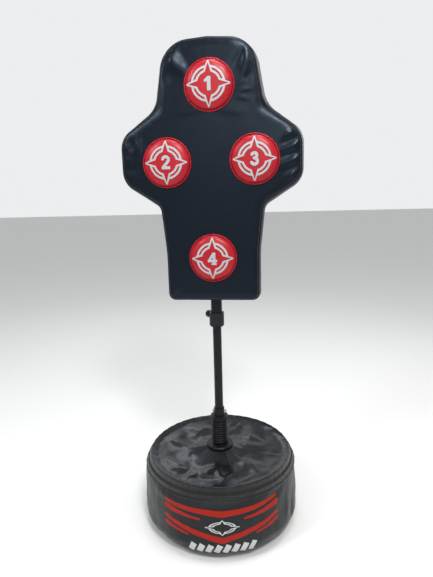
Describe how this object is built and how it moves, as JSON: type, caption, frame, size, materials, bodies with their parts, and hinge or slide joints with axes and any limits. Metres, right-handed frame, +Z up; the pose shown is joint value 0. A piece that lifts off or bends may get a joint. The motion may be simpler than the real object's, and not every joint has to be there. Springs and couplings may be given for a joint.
{
  "type": "body opponent mannequin",
  "caption": "Free-standing boxing mannequin: padded torso with round targets on a sprung telescopic pole over a filled round weight bag.",
  "frame": {"origin": "middle of the weight bag's underside, on the floor", "axes": "+Z up, the target face looks towards -Y, +X is the viewer's right when facing the targets"},
  "size_m": [0.488, 0.4598, 1.367],
  "materials": {
    "bag_pu": "dark charcoal coated fabric, satin",
    "lid_pu": "dark coated fabric, shiny and creased",
    "zip_tape": "black woven tape",
    "zip_coil": "black nylon coil",
    "zip_metal": "black painted zinc",
    "fill": "sand and rubber granule fill",
    "foot_steel": "black painted steel",
    "seat_steel": "black powder coat",
    "spring_steel": "black oiled spring steel",
    "fasteners": "bright zinc plate",
    "lower_tube_paint": "black powder coat, satin",
    "upper_tube_paint": "black powder coat, satin",
    "collar_plastic": "black moulded nylon",
    "knob_plastic": "black moulded plastic",
    "nylon": "black nylon",
    "pad_pu": "black PU leatherette, soft satin, fine grain",
    "foam": "grey foam",
    "board": "raw plywood",
    "saddle_zinc": "zinc plated strip",
    "target_pu": "red PU leatherette, satin, white printed crosshair"
  },
  "bodies": {
    "base": {"bag_side_wall": "bag_pu", "bag_bottom": "bag_pu", "lid_hinge": "bag_pu", "bag_lid": "lid_pu", "zip_tape_outer": "zip_tape", "zip_tape_inner": "zip_tape", "zip_coil": "zip_coil", "zip_stops": "zip_metal", "bag_fill": "fill", "base_plate": "foot_steel", "riser_tube": "foot_steel", "riser_ribs": "foot_steel", "riser_top_plate": "foot_steel", "lower_spring_seat": "seat_steel", "anchor_bolt": "fasteners", "anchor_nut": "fasteners"},
    "spring_mid": {"coil_spring": "spring_steel"},
    "lower_pole": {"pole_socket": "seat_steel", "socket_bolt": "fasteners", "socket_nut": "fasteners", "lower_tube": "lower_tube_paint", "lower_tube_cap": "nylon"},
    "height_bush": {"height_bush": "nylon"},
    "torso": {"upper_tube": "upper_tube_paint", "upper_tube_cap": "nylon", "collar": "collar_plastic", "pad_front_cover": "pad_pu", "pad_side_gusset": "pad_pu", "pad_back_cover": "pad_pu", "pad_front_foam": "foam", "pad_back_foam": "foam", "backing_board": "board", "tube_saddles": "saddle_zinc", "saddle_bolts": "fasteners", "saddle_nuts": "fasteners", "target_1_cover": "target_pu", "target_2_cover": "target_pu", "target_3_cover": "target_pu", "target_4_cover": "target_pu", "target_1_welt": "target_pu", "target_2_welt": "target_pu", "target_3_welt": "target_pu", "target_4_welt": "target_pu", "target_1_foam": "foam", "target_2_foam": "foam", "target_3_foam": "foam", "target_4_foam": "foam"},
    "clamp_tip": {"clamp_screw_tip": "nylon"},
    "clamp_knob": {"clamp_knob": "knob_plastic", "clamp_screw": "fasteners"},
    "zip_slider": {"zip_slider": "zip_metal"},
    "zip_pull": {"zip_pull": "zip_metal"}
  },
  "joints": [
    {"name": "spring_sway_fore_aft", "type": "hinge", "parent": "base", "child": "spring_mid", "pos_m": [0, 0, 0.2485], "axis": [1, 0, 0], "range_deg": [-25, 25], "stiffness_Nm_per_rad": 300, "deforming": ["coil_spring"]},
    {"name": "spring_sway_side", "type": "hinge", "parent": "spring_mid", "child": "lower_pole", "pos_m": [0, 0, 0.2895], "axis": [0, 1, 0], "range_deg": [-25, 25], "stiffness_Nm_per_rad": 300, "deforming": ["coil_spring"]},
    {"name": "height_slide", "type": "slide", "parent": "lower_pole", "child": "height_bush", "axis": [0, 0, 1], "range_m": [-0.204, 0.272]},
    {"name": "pad_swivel", "type": "hinge", "parent": "height_bush", "child": "torso", "pos_m": [0, 0, 0.61], "axis": [0, 0, 1], "continuous": true},
    {"name": "knob_travel", "type": "slide", "parent": "torso", "child": "clamp_tip", "axis": [-0.7934, 0.6088, 0], "range_m": [0, 0.0025]},
    {"name": "knob_turn", "type": "hinge", "parent": "clamp_tip", "child": "clamp_knob", "pos_m": [0, 0, 0.629], "axis": [-0.7934, 0.6088, 0], "range_deg": [0, 720.5]},
    {"name": "zip_travel", "type": "hinge", "parent": "base", "child": "zip_slider", "pos_m": [0, 0, 0.2], "axis": [0, 0, 1], "range_deg": [0, 300]},
    {"name": "zip_pull_lift", "type": "hinge", "parent": "zip_slider", "child": "zip_pull", "pos_m": [-0.11151, 0.19313, 0.20285], "axis": [-0.2357, 0.4082, -0.8819], "range_deg": [0, 150]}
  ],
  "couplings": [
    {"joint": "knob_turn", "follows": "knob_travel", "rad_per_m": 5026.5}
  ]
}
